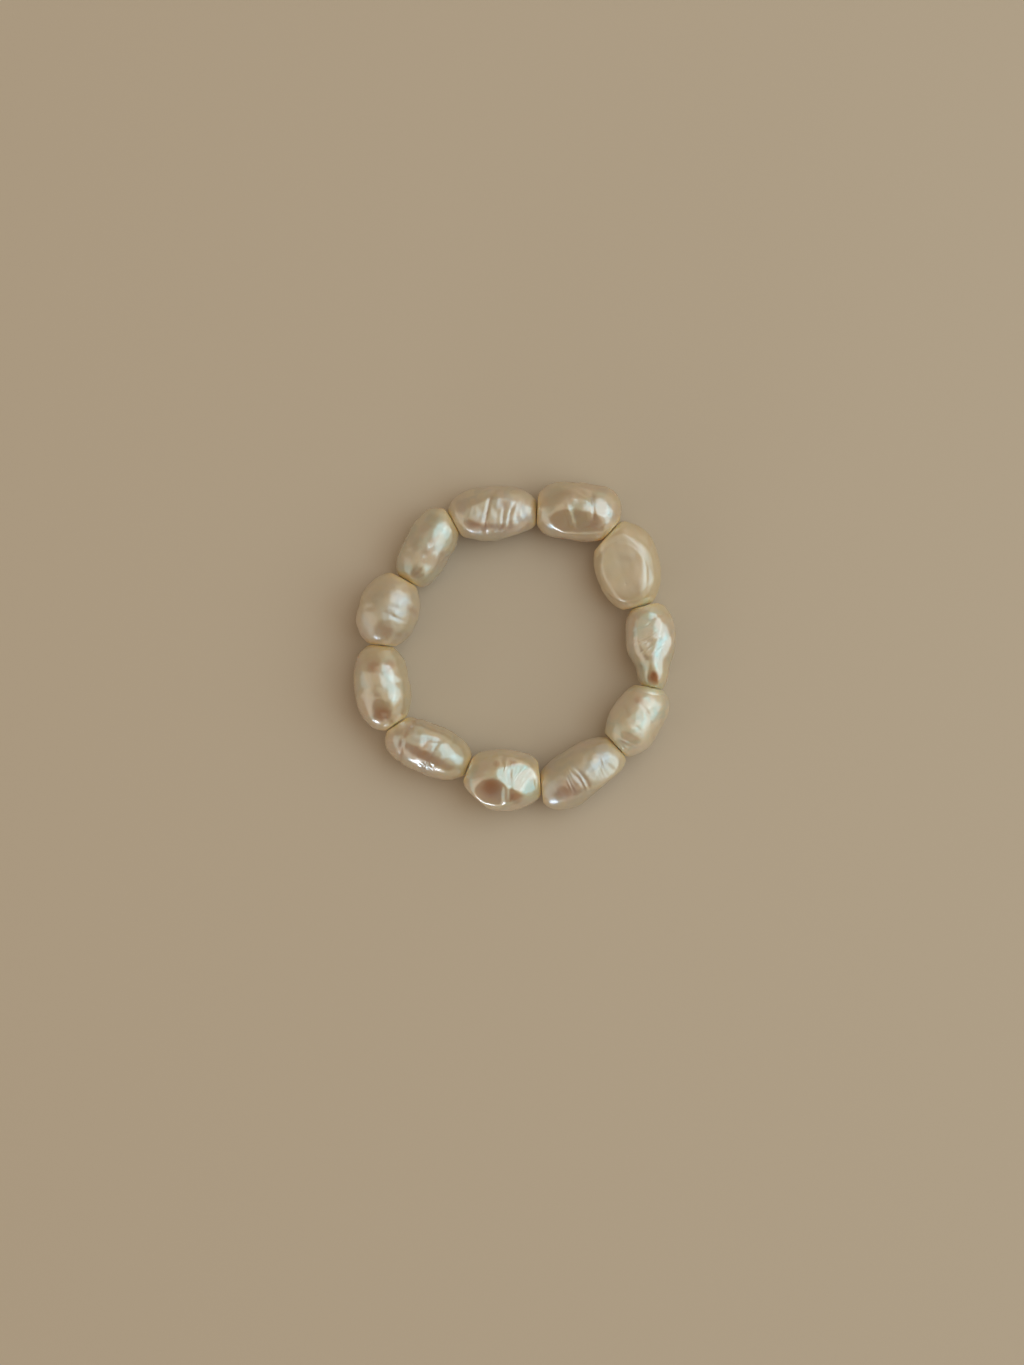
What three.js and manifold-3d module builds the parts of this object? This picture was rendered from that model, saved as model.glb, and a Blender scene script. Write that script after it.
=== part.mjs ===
// Pearl ring: eleven small baroque freshwater pearls, drilled from end to end and threaded on a closed
// loop of clear elastic cord. It lies flat on its side. Millimetres, +Z up, the surface it lies on at
// z = 0 and the middle of the ring's outline at x = y = 0.
import * as THREE from 'three';
import { mergeVertices } from 'three/addons/utils/BufferGeometryUtils.js';
import Module from 'manifold-3d';

// Driving dimensions
const CORD_DIAMETER = 0.5;
const CORD_HEIGHT = 2.15;        // height of the cord's middle above the surface, the same all the way round
const CORD_CORNER = 0.6;         // how far from a meeting point the cord starts to turn
const CORD_SIDES = 8;
const CORD_STEPS = 80;
const DRILL_DIAMETER = 0.9;
const DRILL_SIDES = 12;
const PEARL_GAP = 0.05;          // free space between the ends of two neighbouring pearls
const PEARL_LENGTH_STEPS = 15;   // facets from end to end
const PEARL_ROUND_STEPS = 24;    // facets around the drill hole
const REACH = 6;                 // no pearl's surface is further than this from the middle of its hole
const LOBE_BLEND = 0.12;         // softness of the waist where two lobes of a pearl have grown together
const FLAT_BLEND = 0.03;         // softness of a flat's edge
const END_BLEND = 0.012;         // softness of the edge where a pearl faces its neighbour
const FIELD_SIZE = 2.2;          // a typical pearl radius, which turns a distance into a share of the pearl
const BISECTIONS = 30;
const GROOVE_START = -0.3;       // height from a pearl's middle at which a groove starts to sink in
const GROOVE_FULL = 0.7;         // and at which it has its full depth
const MERGE_DISTANCE = 1e-4;

const PEARL_LOOKS = [
  { name: 'cream nacre', color: 0xd9c7a6, roughness: 0.3 },
  { name: 'silver nacre', color: 0xd8cfc0, roughness: 0.26 },
  { name: 'matte nacre', color: 0xd2bd98, roughness: 0.45 },
];
const CORD_LOOK = { name: 'clear elastic', color: 0xe6e2d8, roughness: 0.35 };

// Where neighbouring pearls meet on the cord, clockwise seen from above. Pearl k lies between points k
// and k + 1.
const MEETING_POINTS = [
  [1.73, 10.8],
  [7.9, 9.42],
  [10.1, 3.2],
  [10.95, -3.25],
  [8.25, -8.15],
  [2.04, -10.8],
  [-3.72, -9.6],
  [-9.45, -6.2],
  [-10.5, 0.1],
  [-8.55, 5.2],
  [-4.95, 9.95],
].map(([x, y]) => new THREE.Vector3(x, y, CORD_HEIGHT));

// One row for each pearl. x, y: its middle in plan. turn: degrees from +X to its long axis, which points
// clockwise round the ring. rest: how much its underside is worn flat where it lies. Its lobes have
// their own length, width and height, their place (along, across) from the pearl's middle, and a
// squareness: 2 is an ellipse, and more is a blunter barrel. A flat faces the way `facing` (degrees
// from the long axis, in plan) tipped up by `tip`, `out` from the middle. A groove crosses the upper
// side, or with `round` goes all the way around: (east, north) is its middle from the pearl's own, turn
// its direction in plan.
const PEARLS = [
  {
    x: 4.95, y: 10.57, turn: -4, rest: 0.04, look: 0,
    lobes: [{ length: 6.7, width: 4.65, height: 4.5, square: 2.8 }],
  },
  {
    x: 8.85, y: 6.3, turn: -77, rest: 0.22, look: 2,
    lobes: [{ length: 7.1, width: 5.1, height: 4.3, square: 2.2 }],
    flats: [{ facing: -100, tip: 80, out: 1.64 }],
  },
  {
    x: 10.7, y: -0.05, turn: -86, rest: 0.04, look: 0,
    lobes: [
      { along: -0.9, length: 5.3, width: 3.95, height: 4.1, square: 2.4 },
      { along: 1.4, length: 4.3, width: 2.5, height: 3.4, square: 2.4 },
    ],
  },
  {
    x: 9.58, y: -5.72, turn: -122, rest: 0.04, look: 1,
    lobes: [{ length: 6.1, width: 4.15, height: 4.3, square: 2.35 }],
  },
  {
    x: 5.2, y: -9.95, turn: -149, rest: 0.04, look: 0,
    lobes: [{ length: 7.5, width: 4.4, height: 4.4, square: 2.4 }],
    flats: [{ facing: 99, tip: 0, out: 1.85 }],
    grooves: [{ east: 0.1, north: -0.3, turn: 126, reach: 1.4, width: 0.28, depth: 0.05 }],
  },
  {
    x: -0.9, y: -10.45, turn: 180, rest: 0.04, look: 1,
    lobes: [{ length: 6.3, width: 4.85, height: 4.6, square: 2.45 }],
    flats: [{ facing: 45, tip: 0, out: 2.5 }],
    grooves: [{ east: 0.57, north: 0.0, turn: 92, reach: 1.7, width: 0.28, depth: 0.06 }],
  },
  {
    x: -6.75, y: -8.0, turn: 156, rest: 0.04, look: 0,
    lobes: [{ length: 7.1, width: 4.0, height: 4.2, square: 2.4 }],
    grooves: [{ east: -2.05, north: 0.4, turn: 72, reach: 9, width: 0.3, depth: 0.08, round: true }],
  },
  {
    x: -10.4, y: -3.15, turn: 98, rest: 0.04, look: 0,
    lobes: [{ length: 6.9, width: 4.4, height: 4.3, square: 2.3 }],
    grooves: [{ east: 0.0, north: 1.4, turn: 0, reach: 0.9, width: 0.32, depth: 0.07 }],
  },
  {
    x: -9.9, y: 2.8, turn: 70, rest: 0.04, look: 1,
    lobes: [{ length: 6.0, width: 4.75, height: 4.6, square: 2.15 }],
  },
  {
    x: -6.8, y: 7.8, turn: 62, rest: 0.04, look: 1,
    lobes: [{ length: 6.5, width: 3.75, height: 3.9, square: 2.8 }],
  },
  {
    x: -1.67, y: 10.4, turn: 3, rest: 0.04, look: 0,
    lobes: [{ length: 7.2, width: 4.35, height: 4.2, square: 2.2 }],
    flats: [{ facing: -73, tip: 0, out: 2.13 }],
    grooves: [{ east: -0.45, north: 0.1, turn: 74, reach: 1.7, width: 0.3, depth: 0.09 }],
  },
];

const radians = THREE.MathUtils.degToRad;
const UP = new THREE.Vector3(0, 0, 1);
const wasm = await Module();
wasm.setup();

function makeMaterial({ name, color, roughness }) {
  return new THREE.MeshStandardMaterial({ name, color, roughness, metalness: 0 });
}

// A three.js geometry as a manifold solid: only positions are left, and shared vertices are merged.
function toSolid(geometry) {
  const bare = geometry.clone();
  bare.deleteAttribute('normal');
  bare.deleteAttribute('uv');
  const merged = mergeVertices(bare, MERGE_DISTANCE);
  return new wasm.Manifold(new wasm.Mesh({
    numProp: 3,
    vertProperties: new Float32Array(merged.attributes.position.array),
    triVerts: new Uint32Array(merged.index.array),
  }));
}

function toGeometry(solid) {
  const mesh = solid.getMesh();
  const geometry = new THREE.BufferGeometry();
  geometry.setAttribute('position', new THREE.BufferAttribute(mesh.vertProperties, 3));
  geometry.setIndex(new THREE.BufferAttribute(mesh.triVerts, 1));
  geometry.computeVertexNormals();
  return geometry;
}

// The smaller of several values with the corner between them rounded off by `blend`.
function softMin(values, blend) {
  const least = Math.min(...values);
  const sum = values.reduce((total, value) => total + Math.exp((least - value) / blend), 0);
  return least - blend * Math.log(sum);
}

function softMax(values, blend) {
  return -softMin(values.map((value) => -value), blend);
}

// Below 0 inside a lobe, above 0 outside: a superellipse along the pearl, an ellipse across it.
function lobeField({ along = 0, across = 0, length, width, height, square }, point) {
  const end = Math.abs((point.x - along) / (length / 2));
  const side = Math.hypot((point.y - across) / (width / 2), point.z / (height / 2));
  return (end ** square + side ** square) ** (1 / square) - 1;
}

// Below 0 inside a pearl whose own axes are X along it, Y across it and Z up.
function pearlField({ lobes, flats = [] }, point) {
  const body = softMin(lobes.map((lobe) => lobeField(lobe, point)), LOBE_BLEND);
  const cuts = flats.map(({ facing, tip, out }) => {
    const level = Math.cos(radians(tip));
    const normal = new THREE.Vector3(
      Math.cos(radians(facing)) * level, Math.sin(radians(facing)) * level, Math.sin(radians(tip)));
    return (normal.dot(point) - out) / FIELD_SIZE;
  });
  return softMax([body, ...cuts], FLAT_BLEND);
}

// How deep the grooves are at a point, given from the pearl's middle in the ring's own directions.
function grooveDepth({ grooves = [] }, point) {
  return grooves.reduce((total, { east, north, turn, reach, width, depth, round }) => {
    const cos = Math.cos(radians(turn));
    const sin = Math.sin(radians(turn));
    const along = (point.x - east) * cos + (point.y - north) * sin;
    const off = (point.y - north) * cos - (point.x - east) * sin;
    const upper = round ? 1 : THREE.MathUtils.smoothstep(point.z, GROOVE_START, GROOVE_FULL);
    return total + depth * upper * Math.exp(-((off / width) ** 2) - (along / reach) ** 4);
  }, 0);
}

// A unit sphere whose every vertex is pushed out along its own ray to the pearl's surface.
function pearlGeometry(row, place, facing, ends) {
  const sphere = new THREE.SphereGeometry(1, PEARL_ROUND_STEPS, PEARL_LENGTH_STEPS);
  sphere.rotateZ(-Math.PI / 2);
  const height = Math.max(...row.lobes.map((lobe) => lobe.height));
  const middle = new THREE.Vector3(row.x, row.y, height / 2 - row.rest);
  const position = sphere.attributes.position;
  const ray = new THREE.Vector3();
  const world = new THREE.Vector3();
  const own = new THREE.Vector3();
  const outside = (distance) => {
    world.copy(ray).multiplyScalar(distance).applyAxisAngle(UP, facing).add(place);
    own.copy(world).sub(middle).applyAxisAngle(UP, -radians(row.turn));
    const past = ends.map((end) => (end.distanceToPoint(world) + PEARL_GAP / 2) / FIELD_SIZE);
    return softMax([pearlField(row, own), ...past], END_BLEND) > 0;
  };
  for (let index = 0; index < position.count; index += 1) {
    ray.fromBufferAttribute(position, index).normalize();
    let near = 0;
    let far = REACH;
    for (let step = 0; step < BISECTIONS; step += 1) {
      const half = (near + far) / 2;
      if (outside(half)) {
        far = half;
      } else {
        near = half;
      }
    }
    world.copy(ray).multiplyScalar(near).applyAxisAngle(UP, facing).add(place).sub(middle);
    ray.multiplyScalar(near - grooveDepth(row, world));
    position.setXYZ(index, ray.x, ray.y, ray.z);
  }
  return sphere;
}

// A pearl drilled along the cord, worn flat underneath, and kept on its own side of both meeting points.
function makePearl(row, index) {
  const count = MEETING_POINTS.length;
  const [before, start, end, after] = [-1, 0, 1, 2].map(
    (step) => MEETING_POINTS[(index + step + count) % count]);
  const course = (from, to) => new THREE.Vector3().subVectors(to, from).normalize();
  const own = course(start, end);
  const leaving = course(before, start).add(own).normalize().negate();
  const arriving = course(end, after).add(own).normalize();
  const ends = [[leaving, start], [arriving, end]].map(
    ([normal, point]) => new THREE.Plane().setFromNormalAndCoplanarPoint(normal, point));

  const place = new THREE.Vector3().addVectors(start, end).multiplyScalar(0.5);
  const facing = Math.atan2(own.y, own.x);
  const drill = new THREE.CylinderGeometry(DRILL_DIAMETER / 2, DRILL_DIAMETER / 2, 3 * REACH, DRILL_SIDES);
  drill.rotateZ(Math.PI / 2);
  const surface = new THREE.BoxGeometry(3 * REACH, 3 * REACH, REACH);
  surface.translate(0, 0, -REACH / 2 - CORD_HEIGHT);
  const whole = toSolid(pearlGeometry(row, place, facing, ends));
  const solid = whole.subtract(toSolid(drill)).subtract(toSolid(surface));

  const pearl = new THREE.Mesh(toGeometry(solid), makeMaterial(PEARL_LOOKS[row.look]));
  pearl.name = `pearl_${String(index + 1).padStart(2, '0')}`;
  pearl.position.copy(place);
  pearl.rotation.z = facing;
  return pearl;
}

// The closed loop of cord: straight through each pearl, with a short bend where two pearls meet.
function makeCord() {
  const count = MEETING_POINTS.length;
  const route = MEETING_POINTS.flatMap((point, index) => {
    const back = new THREE.Vector3().subVectors(MEETING_POINTS[(index + count - 1) % count], point);
    const ahead = new THREE.Vector3().subVectors(MEETING_POINTS[(index + 1) % count], point);
    return [back, ahead].map((way) => way.setLength(CORD_CORNER).add(point));
  });
  const path = new THREE.CatmullRomCurve3(route, true);
  const tube = new THREE.TubeGeometry(path, CORD_STEPS, CORD_DIAMETER / 2, CORD_SIDES, true);
  const cord = new THREE.Mesh(toGeometry(toSolid(tube)), makeMaterial(CORD_LOOK));
  cord.name = 'elastic_cord';
  return cord;
}

const ring = new THREE.Group();
ring.name = 'pearl_ring';
PEARLS.forEach((row, index) => ring.add(makePearl(row, index)));
ring.add(makeCord());

export default ring;
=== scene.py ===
# %% [markdown]
# # A ring of baroque freshwater pearls
# The real thing is eleven small pearls, each drilled from end to end, threaded on one loop of clear
# elastic cord. No two are alike: a baroque pearl grows as a lump and then wears the marks of its growth,
# waists, folds, flats and dimples, under a skin of nacre that shines like satin below a clear gloss. The
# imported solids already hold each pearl's place and main form. They could be shown as they are, but their
# facets are too coarse for folds a tenth of a millimetre deep. So this script works out fine skins that
# stand for them, the cord inside, the nacre itself, and a small studio to look at them in.

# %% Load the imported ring
import math

import bpy
import numpy as np
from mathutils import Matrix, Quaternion, Vector


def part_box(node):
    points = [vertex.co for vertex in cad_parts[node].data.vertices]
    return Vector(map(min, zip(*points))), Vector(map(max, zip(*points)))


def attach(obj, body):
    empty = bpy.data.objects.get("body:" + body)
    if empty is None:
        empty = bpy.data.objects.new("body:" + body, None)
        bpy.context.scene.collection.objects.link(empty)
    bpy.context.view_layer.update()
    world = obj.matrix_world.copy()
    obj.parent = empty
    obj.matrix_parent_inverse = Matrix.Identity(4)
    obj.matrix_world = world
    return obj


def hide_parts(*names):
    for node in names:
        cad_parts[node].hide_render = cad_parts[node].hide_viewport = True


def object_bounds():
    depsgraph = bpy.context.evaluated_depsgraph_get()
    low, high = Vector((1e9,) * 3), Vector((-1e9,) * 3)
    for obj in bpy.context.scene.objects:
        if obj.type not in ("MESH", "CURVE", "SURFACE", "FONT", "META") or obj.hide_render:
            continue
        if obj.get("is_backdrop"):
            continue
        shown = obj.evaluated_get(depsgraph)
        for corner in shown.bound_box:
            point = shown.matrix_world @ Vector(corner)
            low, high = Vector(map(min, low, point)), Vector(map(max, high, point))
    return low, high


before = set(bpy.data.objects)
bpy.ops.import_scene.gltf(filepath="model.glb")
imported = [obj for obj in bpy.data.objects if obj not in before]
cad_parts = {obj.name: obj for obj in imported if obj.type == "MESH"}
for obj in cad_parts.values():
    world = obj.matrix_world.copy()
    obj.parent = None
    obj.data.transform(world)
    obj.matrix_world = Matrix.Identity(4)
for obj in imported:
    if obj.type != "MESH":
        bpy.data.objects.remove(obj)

cad_low, cad_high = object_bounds()
ring_middle = (cad_low + cad_high) / 2
MM = 0.001
print("solids:", len(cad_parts), "box in mm:", [round(v / MM, 2) for v in cad_high - cad_low])

# %% [markdown]
# ## The camera
# The ring is looked at from straight above, and lies a little above the middle of an upright picture,
# filling less than a third of its width. A short lens close by would show the outer sides of the pearls
# leaning away, so a long lens from a hand's length away is used, aimed a little below the ring.

# %% Place the camera
PICTURE_WIDTH = 80.9 * MM
PICTURE_SHAPE = 1365 / 1024
CAMERA_HEIGHT = 260 * MM
AIM_RIGHT = -0.2 * MM
AIM_BELOW = -2.85 * MM
SENSOR = 36.0

camera_data = bpy.data.cameras.new("camera")
camera = bpy.data.objects.new("camera", camera_data)
bpy.context.scene.collection.objects.link(camera)
bpy.context.scene.camera = camera
camera_data.sensor_width = SENSOR
camera_data.lens = SENSOR * CAMERA_HEIGHT / (PICTURE_WIDTH * PICTURE_SHAPE)
camera_data.clip_start = 5 * MM
camera.location = (ring_middle.x + AIM_RIGHT, ring_middle.y + AIM_BELOW, CAMERA_HEIGHT)
print("lens", round(camera_data.lens, 1), "mm, height", round(CAMERA_HEIGHT / MM), "mm")

# %% [markdown]
# ## Shader maths in plain Python
# A shader is a graph of nodes, which is slow to read as a list of links. A small class wraps a socket and
# lends it the usual operators, so that `1 - mask * 0.5` adds the Math nodes by itself. Every other node
# comes from one method, which takes its type, its settings and the values of its inputs.

# %% A wrapper for sockets, and one for a node tree
def operator_pair(operation):
    """The two methods, plain and reflected, that stand for one Math operation."""
    def plain(self, other):
        return self.recipe.maths(operation, self, other)

    def reflected(self, other):
        return self.recipe.maths(operation, other, self)

    return plain, reflected


class Wire:
    """A number carried by a socket. Python's own operators on it add Math nodes."""
    def __init__(self, recipe, socket):
        self.recipe = recipe
        self.socket = socket

    __add__, __radd__ = operator_pair("ADD")
    __sub__, __rsub__ = operator_pair("SUBTRACT")
    __mul__, __rmul__ = operator_pair("MULTIPLY")


class Recipe:
    """The node tree of a material or a world, with short ways to add to it."""
    def __init__(self, owner):
        owner.use_nodes = True
        self.tree = owner.node_tree
        self.tree.nodes.clear()

    def node(self, kind, settings, inputs, output=0):
        """Adds a node: its settings first, then its inputs by name or number. Returns one output."""
        made = self.tree.nodes.new(kind)
        for name, value in settings.items():
            setattr(made, name, value)
        for name, value in inputs.items():
            if isinstance(value, Wire):
                self.tree.links.new(value.socket, made.inputs[name])
            else:
                made.inputs[name].default_value = value
        return Wire(self, made.outputs[output]) if made.outputs else None

    def maths(self, operation, first, second):
        """One Math node on two numbers or sockets."""
        return self.node("ShaderNodeMath", {"operation": operation}, {0: first, 1: second})

    def mix(self, share, first, second):
        """A colour between two others."""
        settings = {"data_type": "RGBA"}
        return self.node("ShaderNodeMix", settings, {0: share, 6: first, 7: second}, output=2)

    def noise(self, place, size, detail=2.0, distortion=0.0):
        """Cloudy noise from 0 to 1 whose lumps are about `size` across."""
        values = {"Vector": place, "Scale": 1 / size, "Detail": detail, "Distortion": distortion}
        return self.node("ShaderNodeTexNoise", {}, values)

    def ramp(self, value, low, high):
        """0 below low, 1 above high and smooth between them."""
        values = {"Value": value, "From Min": low, "From Max": high}
        return self.node("ShaderNodeMapRange", {"interpolation_type": "SMOOTHSTEP"}, values)


def tone(red, green, blue):
    """A colour from 0 to 255 as a screen shows it, as the linear colour that a shader takes. The numbers
    are those of the standard screen curve: a straight foot, then a power."""
    shown = np.array([red, green, blue]) / 255
    linear = np.where(shown <= 0.04045, shown / 12.92, ((shown + 0.055) / 1.055) ** 2.4)
    return (*(float(value) for value in linear), 1.0)


print("white is", tone(255, 255, 255))

# %% [markdown]
# ## The studio
# A plain pale floor, and light as from a window to the right. An even white room would light the pearls
# just as brightly, but nacre shows its surroundings and would look like plaster in it. So the two panes
# of the window are soft cool lights that make the bright patches, a narrow low light in front draws the
# thin sharp streaks along the near sides, and the room round them is warm and uneven: dark in front,
# where somebody would stand to look, and brighter low down to the left, off a wall.

# %% Lay the floor
FLOOR_REACH = 3.0
FLOOR_TONE = tone(202, 188, 169)
FLOOR_ROUGHNESS = 0.9
FLOOR_GLOSS = 0.2


def floor_material():
    """A nearly matt paint, one colour all over."""
    material = bpy.data.materials.new("pale floor")
    recipe = Recipe(material)
    values = {"Base Color": FLOOR_TONE, "Roughness": FLOOR_ROUGHNESS, "Specular IOR Level": FLOOR_GLOSS}
    shader = recipe.node("ShaderNodeBsdfPrincipled", {}, values)
    recipe.node("ShaderNodeOutputMaterial", {}, {"Surface": shader})
    return material


floor_mesh = bpy.data.meshes.new("floor")
corners = [(-FLOOR_REACH, -FLOOR_REACH, 0), (FLOOR_REACH, -FLOOR_REACH, 0),
           (FLOOR_REACH, FLOOR_REACH, 0), (-FLOOR_REACH, FLOOR_REACH, 0)]
floor_mesh.from_pydata(corners, [], [(0, 1, 2, 3)])
floor = bpy.data.objects.new("floor", floor_mesh)
bpy.context.scene.collection.objects.link(floor)
floor.data.materials.append(floor_material())
floor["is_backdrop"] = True
print("floor", 2 * FLOOR_REACH, "m across")

# %% Hang the lights
LIGHT_DISTANCE = 0.42
# name, azimuth, elevation, roll, width and height in metres, radiance, colour
LIGHTS = [
    ("high pane", 28, 60, -30, 0.34, 0.32, 1.17, (0.72, 0.89, 1.0)),
    ("low pane", -6, 36, -30, 0.34, 0.28, 1.03, (0.62, 0.90, 1.0)),
    ("low streak", 248, 5, 0, 0.16, 0.045, 10.0, (0.86, 0.92, 1.0)),
]


def direction(azimuth, elevation):
    """The unit vector that points to an azimuth, anticlockwise from east, and an elevation, in degrees."""
    level = math.cos(math.radians(elevation))
    return Vector((math.cos(math.radians(azimuth)) * level, math.sin(math.radians(azimuth)) * level,
                   math.sin(math.radians(elevation))))


def area_light(name, azimuth, elevation, roll, width, height, radiance, colour):
    """A flat rectangular light in the given direction from the ring, facing it. Its power is its
    radiance times pi times its area."""
    way = direction(azimuth, elevation)
    data = bpy.data.lights.new(name, "AREA")
    data.shape = "RECTANGLE"
    data.size = width
    data.size_y = height
    data.energy = radiance * math.pi * width * height
    data.color = colour
    light = bpy.data.objects.new(name, data)
    bpy.context.scene.collection.objects.link(light)
    light.location = ring_middle + way * LIGHT_DISTANCE
    turned = way.to_track_quat("Z", "Y") @ Quaternion((0, 0, 1), math.radians(roll))
    light.rotation_euler = turned.to_euler()


for settings in LIGHTS:
    area_light(*settings)
print("lights:", [light.name for light in bpy.data.lights])

# %% Fill the room
ROOM_TONE = (0.68, 0.56, 0.40, 1.0)
SHOWN_TONE = tone(176, 165, 147)
# azimuth, elevation, the angle out to which a patch is full and the one at which it ends, tone
PATCHES = [
    (125, 22, 25, 50, (0.30, 0.23, 0.16, 1.0)),
    (200, 16, 10, 44, (0.92, 0.80, 0.64, 1.0)),
    (247, 50, 20, 33, (0.06, 0.02, 0.03, 1.0)),
    (288, 28, 12, 24, (0.09, 0.04, 0.045, 1.0)),
]

world = bpy.data.worlds.new("studio")
bpy.context.scene.world = world
room = Recipe(world)
way_out = room.node("ShaderNodeTexCoord", {}, {}, output="Generated")
surroundings = ROOM_TONE
for azimuth, elevation, inner, outer, patch_tone in PATCHES:
    facing = room.node("ShaderNodeVectorMath", {"operation": "DOT_PRODUCT"},
                       {0: way_out, 1: direction(azimuth, elevation)}, output=1)
    share = room.ramp(facing, math.cos(math.radians(outer)), math.cos(math.radians(inner)))
    surroundings = room.mix(share, surroundings, patch_tone)
camera_ray = room.node("ShaderNodeLightPath", {}, {}, output="Is Camera Ray")
seen = room.mix(camera_ray, surroundings, SHOWN_TONE)
backdrop = room.node("ShaderNodeBackground", {}, {"Color": seen, "Strength": 1.0})
room.node("ShaderNodeOutputWorld", {}, {"Surface": backdrop})
bpy.context.scene.view_settings.view_transform = "Standard"
print("world nodes:", len(world.node_tree.nodes))

# %% [markdown]
# ## The marks of growth
# Each pearl's form is a few smooth lobes, and its character is in its marks. They could be sculpted by
# hand or painted as bump, but bump vanishes at the outline and neither can be read. Five kinds of mark
# in numbers are enough. A crease is a valley or a ridge along a line, a dimple is a round hollow or a
# bump, a terrace is a low oval plateau like the face of a button pearl, wrinkles are a comb of fine
# parallel folds, and a facet is a flat where the pearl was pressed against another as it grew. Each
# function gives how deep the skin is pressed in at a place, so marks simply add up. Only facets do not:
# the deepest one wins. Places are in millimetres east and north of the pearl's own middle, and
# directions in degrees anticlockwise from east.

# %% Creases and dimples
UPPER_START = -0.3      # height from a pearl's middle at which the marks start to show
UPPER_FULL = 0.7        # and at which they are at their full depth


def upper(up):
    """1 on the upper side and 0 on the lower, with a smoothstep between the two heights."""
    share = np.clip((up - UPPER_START) / (UPPER_FULL - UPPER_START), 0, 1)
    return share * share * (3 - 2 * share)


def along_and_off(east, north, mark_east, mark_north, turn):
    """Distances along and across a line in plan through the mark's middle."""
    cos, sin = math.cos(math.radians(turn)), math.sin(math.radians(turn))
    along = (east - mark_east) * cos + (north - mark_north) * sin
    off = (north - mark_north) * cos - (east - mark_east) * sin
    return along, off


def crease(mark_east, mark_north, turn, reach, width, depth, bend=0.0, ring=False):
    """A valley, or a ridge if depth is negative: depth times exp(-(off / width)^2) across the line and
    exp(-(along / reach)^4) along it. Bend times along squared curves the line. A ring goes all round."""
    def press(east, north, up):
        along, straight_off = along_and_off(east, north, mark_east, mark_north, turn)
        off = straight_off - bend * along**2
        side = 1 if ring else upper(up)
        return depth * side * np.exp(-((off / width) ** 2) - (along / reach) ** 4)
    return press


def dimple(mark_east, mark_north, size, depth):
    """A hollow, or a bump if depth is negative: depth times exp(-(distance / size)^2)."""
    def press(east, north, up):
        squared = (east - mark_east) ** 2 + (north - mark_north) ** 2
        return depth * upper(up) * np.exp(-squared / size**2)
    return press


print("a dimple 0.1 deep presses its middle by", dimple(0, 0, 1, 0.1)(0.0, 0.0, 1.0).round(3))

# %% Terraces, wrinkles and facets
SWAY = 0.3              # how far folds sway, as a share of their pitch
SWAY_ALONG = 2.2        # radians over a fold's reach
SWAY_ACROSS = 1.7       # radians from one fold to the next
LONGER_PITCH = 1.57
WEAKER_FOLDS = 0.7
FACET_EDGE = 0.045
LEAST_LEVEL = 0.3       # keeps the ways to a plane finite for rays that never meet it


def terrace(mark_east, mark_north, turn, length, width, drop, edge):
    """An oval plateau: outside it the skin lies lower by drop, over a smoothstep `edge` wide."""
    def press(east, north, up):
        along, off = along_and_off(east, north, mark_east, mark_north, turn)
        beyond = (np.hypot(along / (length / 2), off / (width / 2)) - 1) * width / 2
        share = np.clip(beyond / edge + 0.5, 0, 1)
        return drop * upper(up) * share * share * (3 - 2 * share)
    return press


def wrinkles(mark_east, mark_north, turn, reach, span, pitch, depth, fan=0.0):
    """Uneven parallel folds: depth times the sum of a cosine and a weaker one of a longer pitch, faded
    across the comb by exp(-(off / span)^4) and along it by exp(-(along / reach)^4). A sine along and
    across makes the folds sway, and they spread with fan."""
    def press(east, north, up):
        along, off = along_and_off(east, north, mark_east, mark_north, turn)
        fade = np.exp(-((off / span) ** 4) - (along / reach) ** 4)
        sway = SWAY * pitch * np.sin(SWAY_ALONG * along / reach + SWAY_ACROSS * off / pitch)
        swayed = 2 * np.pi * (off / (1 + fan * along) + sway) / pitch
        folds = np.cos(swayed) + WEAKER_FOLDS * np.cos(swayed / LONGER_PITCH + 1)
        return depth * upper(up) * fade * folds
    return press


def faceted(facets, east, north, up):
    """How far skin that stands above tilted planes is pressed back to the lowest of them. With `past`
    the way back to each plane along the ray, it is FACET_EDGE ln(1 + sum exp(past / FACET_EDGE)). A
    facet is (east, north, height) of a place on its plane, and the way it faces and is tilted."""
    away = np.sqrt(east**2 + north**2 + up**2)
    total = np.ones_like(away)
    for facet_east, facet_north, height, facing, tilt in facets:
        lean = math.tan(math.radians(tilt))
        lean_east = lean * math.cos(math.radians(facing))
        lean_north = lean * math.sin(math.radians(facing))
        level = np.maximum(up + lean_east * east + lean_north * north, LEAST_LEVEL)
        past = away * (1 - (height + lean_east * facet_east + lean_north * facet_north) / level)
        total = total + np.exp(past / FACET_EDGE)
    return FACET_EDGE * np.log(total)


print("a plane at 1.8 presses a top at 2.0 by", faceted([(0, 0, 1.8, 0, 0)], 0.0, 0.0, 2.0).round(3))
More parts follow.
